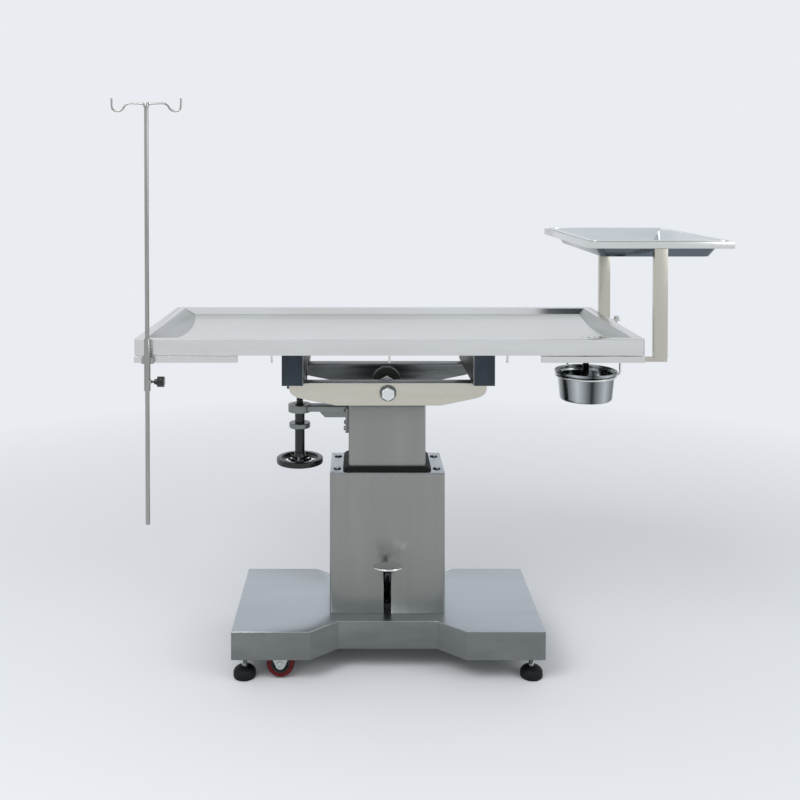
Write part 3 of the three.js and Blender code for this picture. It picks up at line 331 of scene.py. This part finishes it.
# Sheet and machined nodes whose shape is right: edges rounded as folded or turned
DRESSED = [
    # The pale edge material on the rounded edges is a painted highlight
    ("table_top", "table", "polished_steel", polished, 2.2, 3, painted_highlight),
    ("base_cover", "base", "satin_steel", cover_top_painted_light, 1.6, 3, painted_highlight),
    ("base_frame", "base", "cast_iron", painted_iron, 1.0, 2, None),
    ("outer_column", "base", "satin_steel", satin, 0.7, 2, painted_highlight),
    ("column_cap", "base", "satin_steel", cover_top_painted_light, 0.7, 2, painted_highlight),
    ("column_gasket", "base", "black_rubber", rubber, 2.0, 3, None),
    ("pedal_lever", "pedal", "black_plastic", black_plastic, 1.5, 3, None),
    ("inner_column", "lift", "satin_steel", satin, 0.6, 2, None),
    # The head plate here and the screw arm below take the satin painted as shade
    ("head_plate", "lift", "satin_steel", satin_painted_shade, 1.0, 2, None),
    # The lug takes the near-black wall painted as shade, with the darker plate on its edges
    ("pivot_lug", "lift", "slate_steel", inner_painted_shade, 1.5, 3, plate_painted_shade),
    ("screw_arm", "lift", "satin_steel", satin_painted_shade, 1.0, 2, None),
    ("travel_nut", "nut", "bronze", bronze, 0.8, 2, None),
    # Painted highlight: the pale polished tone on the cross members' rounded edges; their slate faces are
    # painted shade
    ("cross_member_left", "table", "slate_steel", slate_painted_shade, 0.8, 2, polished),
    ("cross_member_right", "table", "slate_steel", slate_painted_shade, 0.8, 2, polished),
    ("tilt_plate_front", "table", "polished_steel", cream_plate, 1.0, 3, painted_highlight),
    ("tilt_plate_rear", "table", "polished_steel", cream_plate, 1.0, 3, painted_highlight),
    ("rail_front_left", "table", "polished_steel", polished, 0.5, 2, None),
    ("rail_front_right", "table", "polished_steel", polished, 0.5, 2, None),
    ("rail_rear_left", "table", "polished_steel", polished, 0.5, 2, None),
    ("rail_rear_right", "table", "polished_steel", polished, 0.5, 2, None),
    ("pole_sleeve", "table", "polished_steel", drawn_rod, 0.4, 2, None),
    ("pole_knob", "knob", "black_plastic", black_plastic, 1.2, 3, None),
    ("tray_post_front", "tray", "polished_steel", polished_upright, 1.0, 3, None),
    ("tray_post_rear", "tray", "polished_steel", polished_upright, 0.6, 2, None),
    ("tray_bar_front", "tray", "polished_steel", polished, 1.0, 3, painted_highlight),
    ("tray_bar_rear", "tray", "polished_steel", polished, 1.0, 3, painted_highlight),
    ("tray_bar_left", "tray", "polished_steel", polished, 1.0, 3, painted_highlight),
    ("tray_bar_right", "tray", "polished_steel", polished, 1.0, 3, painted_highlight),
    ("tray_pan", "pan", "mirror_steel", pan_inside, 0.7, 2, None),
    ("clamp_screw", "clamp", "zinc", zinc, 0.8, 2, None),
    ("caster_fork_front", "base", "zinc", zinc, 0.6, 2, None),
    ("caster_fork_rear", "base", "zinc", zinc, 0.6, 2, None),
]
sheets = {row[0]: dressed(*row) for row in DRESSED}

# Faces of one sheet that differ by painted shade: the cover's folds, the plates' inside, the pan's outside
paint(sheets["base_cover"], satin_painted_shade, lambda normal, spot: abs(normal.z) < 0.5)
# Upright folds take the painted shade, not the painted edge highlight that the top edges keep
paint(sheets["base_cover"], satin_painted_shade, lambda normal, spot: abs(normal.z) < 0.3, over=1)
paint(sheets["column_cap"], satin_painted_shade, lambda normal, spot: abs(normal.z) < 0.5)
# Painted shade: the tilt plates' faces towards the mechanism and their top and bottom faces get the darker
# plate
paint(sheets["tilt_plate_front"], plate_painted_shade, lambda normal, spot: normal.y > 0.5 or abs(normal.z) > 0.9)
paint(sheets["tilt_plate_rear"], plate_painted_shade, lambda normal, spot: normal.y < -0.5 or abs(normal.z) > 0.9)
# Painted shade: the cross members' inner sides get the near-black wall
paint(sheets["cross_member_left"], inner_painted_shade, lambda normal, spot: abs(normal.y) < 0.5)
paint(sheets["cross_member_right"], inner_painted_shade, lambda normal, spot: abs(normal.y) < 0.5)
dish_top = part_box("table_top")[1][2]


def end_of_dish(normal, spot):
    sloped = normal.z > 0.5 and abs(normal.x) > 0.12
    return sloped and abs(normal.x) > abs(normal.y) and spot.z < dish_top - 0.002


# Painted shade: the dish's end slopes get the greyer copy of the sheet
paint(sheets["table_top"], end_slope_painted_shade, end_of_dish)
pan_middle = middle("tray_pan")
pan_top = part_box("tray_pan")[1][2]


def outside_pan(normal, spot):
    away = (spot.x - pan_middle.x) * normal.x + (spot.y - pan_middle.y) * normal.y
    side = away > 0 and abs(normal.z) < 0.95 and normal.z < 0.1
    return spot.z < pan_top - 0.004 and (normal.z < -0.5 or side)


# Painted shade on the pan's outside and underside
paint(sheets["tray_pan"], pan_outside_painted_shade, outside_pan)

# Nodes that stay as they are, hidden inside or seen only in gaps
KEPT = {
    "upper_guide": nylon, "lower_guide": nylon, "hydraulic_barrel": painted_iron, "pump_body": painted_iron,
    "pedal_pin": zinc, "pump_plunger": mirror, "hydraulic_ram": mirror, "screw_bush": bronze,
    # The pivot bushes take the plate painted as shade
    "pivot_bush_front": plate_painted_shade, "pivot_bush_rear": plate_painted_shade, "drain_strainer": mirror,
}
for node, material in KEPT.items():
    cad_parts[node].data.materials.clear()
    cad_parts[node].data.materials.append(material)


# Levelling feet: a cup-shaped pad, and a threaded stud with its nut
def levelling_feet():
    pad = lathe([(0, 0), (26.6, 0), (28.9, 1.6), (30, 4.8), (30, 15), (29.3, 18), (27, 22), (22.5, 25.8),
                 (16.6, 28.6), (12.4, 30), (0, 30)], (0, 0, 0))
    thread = [(0, 29.5), (7.5, 29.5)]
    for turn in range(20):
        thread += [(7.5, 36 + turn * 2.5), (6.4, 37.2 + turn * 2.5)]
    thread += [(7.5, 87), (7.5, 121), (6.5, 122), (0, 122)]
    stud = lathe(thread, (0, 0, 0), sides=32)
    begin()
    bpy.ops.mesh.primitive_cylinder_add(vertices=6, radius=12.9 * MM, depth=9 * MM,
                                        location=(0, 0, 91.4 * MM))
    nut = bpy.context.object
    soften(nut, 0.8)
    shank = joined([stud, nut])
    corners = {"front_left": "fl", "front_right": "fr", "rear_left": "rl", "rear_right": "rr"}
    for corner, short in corners.items():
        node = "foot_" + corner
        spot = middle(node)
        place = (spot.x, spot.y, 0)
        settle(copy_at(pad, place), "foot_pad_" + short, "foot_" + short, "black_rubber", rubber, node)
        settle(copy_at(shank, place), "foot_stud_" + short, "foot_" + short, "zinc", zinc, node, smooth=40)
    bpy.data.objects.remove(pad)
    bpy.data.objects.remove(shank)


levelling_feet()


# Casters: a crowned tyre on a webbed hub, between cheeks that narrow from the plate to the axle
def fork_cheeks(end, axle):
    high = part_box("caster_fork_" + end)[1]
    out, thick = 0.0193, 0.0022
    for side in (-1, 1):
        face = axle.y + side * out
        begin()
        bpy.ops.mesh.primitive_cylinder_add(vertices=40, radius=0.013, depth=thick,
                                            location=(axle.x, face, axle.z),
                                            rotation=(math.radians(90), 0, 0))
        eye = bpy.context.object
        begin()
        bpy.ops.mesh.primitive_cube_add(size=1, location=(axle.x, face, high[2] - 0.006))
        head = bpy.context.object
        head.dimensions = (0.07, thick, 0.002)
        cheek = joined([eye, head])
        bpy.ops.object.mode_set(mode="EDIT")
        bpy.ops.mesh.select_all(action="SELECT")
        bpy.ops.mesh.convex_hull()
        bpy.ops.object.mode_set(mode="OBJECT")
        soften(cheek, 0.6)
        settle(cheek, "fork_cheek_%s_%s" % (end, "near" if side < 0 else "far"), "base", "zinc", zinc)


def caster_wheels():
    for end in ("front", "rear"):
        spot = middle("caster_tyre_" + end)
        tyre = lathe([(25.2, -13), (32, -13.6), (34.6, -12.8), (36.4, -10), (37.2, -5), (37.5, 0), (37.2, 5),
                      (36.4, 10), (34.6, 12.8), (32, 13.6), (25.2, 13), (25.2, -13)], spot, "Y")
        settle(tyre, "tyre_" + end, "wheel_" + end, "red_tyre", tyre_red, "caster_tyre_" + end)
        hub = lathe([(5.3, -14.4), (10, -14.4), (11, -13.6), (11.4, -8.2), (18.6, -7.6), (19.6, -12.4),
                     (20.4, -13), (24.7, -13), (24.7, 13), (20.4, 13), (19.6, 12.4), (18.6, 7.6), (11.4, 8.2),
                     (11, 13.6), (10, 14.4), (5.3, 14.4), (5.3, -14.4)], spot, "Y")
        settle(hub, "hub_" + end, "wheel_" + end, "black_plastic", black_plastic, "caster_hub_" + end)
        fork_cheeks(end, spot)


caster_wheels()


# Foot pedal: a dished steel disc
def pedal_disc():
    low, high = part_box("pedal_tread")
    tread_y, tread_height, lean = -0.148033, 0.287, 8
    disc = lathe([(0, 0.2), (35, 0.2), (39, 0.9), (41.2, 2.4), (41.8, 4.6), (41.2, 6.2), (39.6, 6.9),
                  (37.6, 6.6), (34.5, 5.5), (28, 4.6), (0, 4)], ((low[0] + high[0]) / 2, tread_y, tread_height))
    disc.rotation_euler = (math.radians(-lean), 0, 0)
    settle(disc, "pedal_disc", "pedal", "polished_steel", polished, "pedal_tread")


pedal_disc()


# Hand wheel: a flat-sided rim, a flared hub and spokes that rise to it
def hand_wheel():
    spot = middle("tilt_screw")
    centre = (spot.x, spot.y, 0.535)
    rim = lathe([(51.2, -6.6), (53, -8), (63, -8), (65.3, -6.8), (66, -4.6), (66, 4.6), (65.3, 6.8), (63, 8),
                 (53, 8), (51.2, 6.6), (50.4, 4), (50.4, -4), (51.2, -6.6)], centre, sides=96)
    hub = lathe([(8.3, -14), (15.5, -14), (18, -12.8), (23, -7), (24, -5), (24, 1), (21.5, 5), (18.6, 10),
                 (16.2, 16), (15.2, 21.7), (8.3, 21.7), (8.3, -14)], centre)
    spokes = []
    for turn in range(3):
        begin()
        bpy.ops.mesh.primitive_cube_add(size=1, location=(0, 0, 0))
        spoke = bpy.context.object
        spoke.dimensions = (0.002, 0.036, 0.008)
        spoke.location = (-0.017, 0, 0.011)
        alone(spoke)
        bpy.ops.object.transform_apply(location=True, rotation=False, scale=True)
        for face in spoke.data.polygons:
            face.select = face.normal.x > 0.5
        bpy.ops.object.mode_set(mode="EDIT")
        bpy.ops.mesh.select_mode(type="FACE")
        reach, drop, width = -0.016, 0.011, 0.036
        sections = ((-0.006, 0.0049, 0.0271), (0.006, 0.0012, 0.0218), (0.018, 0, 0.02))
        for next_reach, next_drop, next_width in sections:
            step = (next_reach - reach, 0, next_drop - drop)
            bpy.ops.mesh.extrude_region_move(TRANSFORM_OT_translate={"value": step})
            bpy.ops.transform.resize(value=(1, next_width / width, 1),
                                     center_override=(next_reach, 0, next_drop))
            reach, drop, width = next_reach, next_drop, next_width
        bpy.ops.mesh.select_mode(type="VERT")
        bpy.ops.object.mode_set(mode="OBJECT")
        soften(spoke, 2, 3)
        angle = math.radians(90 + 120 * turn)
        spoke.rotation_euler = (0, 0, angle)
        spoke.location = (centre[0] + 0.037 * math.cos(angle), centre[1] + 0.037 * math.sin(angle), 0.534)
        spokes.append(spoke)
    wheel = joined([rim, hub] + spokes)
    settle(wheel, "hand_wheel", "wheel_screw", "black_plastic", black_plastic, "handwheel")


hand_wheel()


# Pivot bolt: a smooth shank, a rounded hexagon head, and nuts at the lug and the far end
def pivot_pin():
    spot = middle("pivot_bolt")
    low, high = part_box("pivot_bolt")
    near, far = low[1] / MM, high[1] / MM
    shank = lathe([(0, -far + 1), (11, -far + 1), (11.9, -far + 2), (11.9, -near - 2), (0, -near - 2)],
                  (spot.x, 0, spot.z), "Y", sides=64)
    pieces = [shank]
    for start, thick, across in ((near, 15, 33), (-16.3, 16, 36), (24.3, 16, 36), (far - 15, 15, 36)):
        begin()
        bpy.ops.mesh.primitive_cylinder_add(vertices=6, radius=across / math.sqrt(3) * MM, depth=thick * MM,
                                            location=(spot.x, (start + thick / 2) * MM, spot.z),
                                            rotation=(math.radians(90), 0, 0))
        soften(bpy.context.object, 2.2, 4)
        pieces.append(bpy.context.object)
    settle(joined(pieces), "pivot_pin", "lift", "zinc", bright_zinc, "pivot_bolt", smooth=40)


pivot_pin()


# Tilt screw: plain black shaft with a steel thrust collar, and a cut thread above the bearing ring
def lead_screw():
    spot = middle("tilt_screw")
    profile = [(0, 517), (7.4, 517), (8, 518), (8, 557), (13.4, 557), (14, 558), (14, 696), (10, 696)]
    for turn in range(26):
        start = 698 + turn * 5
        profile += [(10, start), (8.6, start + 1.2), (8.6, start + 2.8), (10, start + 4)]
    profile += [(10, 834.5), (8.5, 836), (0, 836)]
    screw = lathe(profile, (spot.x, spot.y, 0), sides=48)
    settle(screw, "lead_screw", "wheel_screw", "black_plastic", black_plastic, "tilt_screw", smooth=28)
    collar = lathe([(14.05, 628), (28.6, 628), (30, 629.4), (30, 640.6), (28.6, 642), (14.05, 642),
                    (14.05, 628)], (spot.x, spot.y, 0))
    # The collar takes the satin painted as shade
    settle(collar, "thrust_collar", "wheel_screw", "satin_steel", satin_painted_shade, "tilt_screw", smooth=28)


lead_screw()


# Drain bucket with a rolled rim, its hoop and the spout above it
def drain_bucket():
    spot = middle("bucket")
    rim_top, hoop_height, wire, hoop_radius = 0.818, 0.8045, 0.003, 0.0795
    pail = lathe([(0, -80), (60, -80), (66, -78.8), (69, -76), (70.2, -72), (75.6, -16), (76, -12.2),
                  (77.2, -11), (82.6, -7), (83.8, -5.4), (84, -3), (83.4, -0.6), (82.2, 0), (80.8, -0.8),
                  (80.2, -3), (75.6, -7.6), (74, -10.5), (73.6, -16), (68.2, -72), (66.6, -75.8), (62, -78),
                  (0, -78)], (spot.x, spot.y, rim_top), sides=96)
    # Painted reflections: dark and bright bands alternate round the pail
    dark, bright = "#2C2F31", "#BFC4C6"
    bands = [(count / 12, dark if count % 2 else bright) for count in range(13)]
    drum = mirror_painted_reflection_bands("rolled mirror stainless, painted reflection bands", (spot.x, spot.y, 0), bands)
    settle(pail, "drain_pail", "pail", "mirror_steel", drum, "bucket")
    begin()
    bpy.ops.mesh.primitive_torus_add(major_radius=hoop_radius, minor_radius=wire, major_segments=96,
                                     minor_segments=12, location=(spot.x, spot.y, hoop_height))
    parts = [bpy.context.object]
    for angle in (0, 110):
        along = Vector((math.cos(math.radians(angle)), math.sin(math.radians(angle)), 0))
        foot = Vector((spot.x, spot.y, hoop_height))
        steps = [(hoop_radius, 0), (0.088, 0.0005), (0.0925, 0.005), (0.093, 0.014), (0.093, 0.034),
                 (0.093, 0.0914)]
        parts.append(bent_wire([foot + along * out + Vector((0, 0, up)) for out, up in steps], wire))
    hoop = joined(parts)
    settle(hoop, "pail_hoop", "table", "polished_steel", polished, "bucket_hoop", smooth=50)
    spout = middle("drain_spout")
    low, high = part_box("drain_spout")
    floor = high[2] / MM - 1.8
    pipe = lathe([(6, floor - 92), (7.4, floor - 92), (8, floor - 91), (8, floor + 0.3), (17, floor + 0.3),
                  (17, floor + 1.8), (6, floor + 1.8), (6, floor - 92)], (spot.x, spot.y, 0), sides=40)
    settle(pipe, "drain_pipe", "table", "mirror_steel", mirror, "drain_spout")


drain_bucket()


# Drip pole with rounded ends, and its double hook
def drip_pole():
    spot = middle("drip_pole")
    rod = lathe([(0, 461), (4.6, 461), (5.5, 462), (5.5, 1517), (4.6, 1518), (0, 1518)],
                (spot.x, spot.y, 0), sides=40)
    settle(rod, "drip_rod", "pole", "mirror_steel", drawn_rod, "drip_pole")
    half = [(24.6, 3), (43, 4), (54, -1), (60, -13), (74, -18), (86, -12), (87.5, 0), (87.5, 16)]
    knots = [(-x, z) for x, z in reversed(half)] + [(0, 2)] + half
    path = [(spot.x + x * MM, spot.y, (1524 + z) * MM) for x, z in knots]
    hook = bent_wire(path, 0.0025, 10)
    cap = lathe([(0, 1518.3), (7.5, 1518.3), (7.5, 1527), (6.6, 1529.4), (4, 1530.2), (0, 1530.3)],
                (spot.x, spot.y, 0), sides=40)
    settle(joined([hook, cap]), "drip_hooks", "hooks", "mirror_steel", drawn_rod, "pole_hooks", smooth=50)


drip_pole()


# Dark sealing washers under the cap's screws
def cap_washers():
    low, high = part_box("column_cap")
    for count, (x, y) in enumerate([(20, 40), (-20, 40), (20, -40), (-20, -40)]):
        across = (low[0] if x > 0 else high[0]) + x * MM
        deep = (low[1] if y > 0 else high[1]) + y * MM
        ring = lathe([(7.2, 526.4), (10.5, 526.4), (11, 527), (10.6, 528), (7.2, 528), (7.2, 526.4)],
                     (across, deep, 0), sides=32)
        settle(ring, "cap_washer_%d" % count, "base", "black_rubber", rubber)


cap_washers()


# Floor, light and camera
def studio():
    begin()
    bpy.ops.mesh.primitive_circle_add(vertices=96, radius=14, fill_type="NGON", location=(0, 0, 0))
    floor = bpy.context.object
    floor.name = "pale_floor"
    made = bpy.data.materials.new("pale studio floor")
    made.use_nodes = True
    tree = made.node_tree
    tree.nodes.clear()
    place = put(tree, "ShaderNodeTexCoord")
    reach = put(tree, "ShaderNodeVectorMath", {0: place.outputs["Object"]}, operation="LENGTH")
    fade = put(tree, "ShaderNodeMapRange", {"Value": reach.outputs["Value"], "From Min": 1.3,
               "From Max": 3.2})
    matt = put(tree, "ShaderNodeBsdfDiffuse", {"Color": linear("#EEF0F4")})
    glow = put(tree, "ShaderNodeEmission", {"Color": linear("#E9ECF1"), "Strength": 1.0})
    blend = put(tree, "ShaderNodeMixShader", {"Fac": fade.outputs["Result"], 1: matt.outputs["BSDF"],
                2: glow.outputs["Emission"]})
    put(tree, "ShaderNodeOutputMaterial", {"Surface": blend.outputs["Shader"]})
    floor.data.materials.append(made)

    world = bpy.data.worlds.new("studio")
    world.use_nodes = True
    scene.world = world
    tree = world.node_tree
    tree.nodes.clear()
    path = put(tree, "ShaderNodeLightPath")
    seen = put(tree, "ShaderNodeMath", {0: path.outputs["Is Camera Ray"], 1: path.outputs["Is Glossy Ray"]},
               operation="ADD")
    either = put(tree, "ShaderNodeMath", {0: seen.outputs["Value"], 1: path.outputs["Is Transmission Ray"]},
                 operation="ADD", use_clamp=True)
    soft = put(tree, "ShaderNodeBackground", {"Color": linear("#F4F6F8"), "Strength": 0.72})
    pale = put(tree, "ShaderNodeBackground", {"Color": linear("#E9ECF1"), "Strength": 1.0})
    blend = put(tree, "ShaderNodeMixShader", {"Fac": either.outputs["Value"], 1: soft.outputs["Background"],
                2: pale.outputs["Background"]})
    put(tree, "ShaderNodeOutputWorld", {"Surface": blend.outputs["Shader"]})

    for name, place, aim, size, power in (
        ("key_softbox", (-1.5, -2.0, 2.9), (0, 0, 0.8), 1.6, 42),
        ("fill_softbox", (2.2, -1.6, 1.9), (0, 0, 0.7), 1.4, 14),
    ):
        lamp = bpy.data.lights.new(name, "AREA")
        lamp.energy = power
        lamp.size = size
        rig = bpy.data.objects.new(name, lamp)
        scene.collection.objects.link(rig)
        rig.location = place
        rig.rotation_euler = (Vector(aim) - Vector(place)).to_track_quat("-Z", "Y").to_euler()

    lens = bpy.data.cameras.new("camera")
    lens.sensor_width = 36
    lens.lens = 44.32
    lens.shift_x = 0.0477
    lens.shift_y = -0.2634
    camera = bpy.data.objects.new("camera", lens)
    scene.collection.objects.link(camera)
    camera.location = (-0.1571, -2.7827, 1.3543)
    camera.rotation_euler = (math.radians(89), 0, 0)
    scene.camera = camera
    scene.view_settings.view_transform = "Standard"


studio()
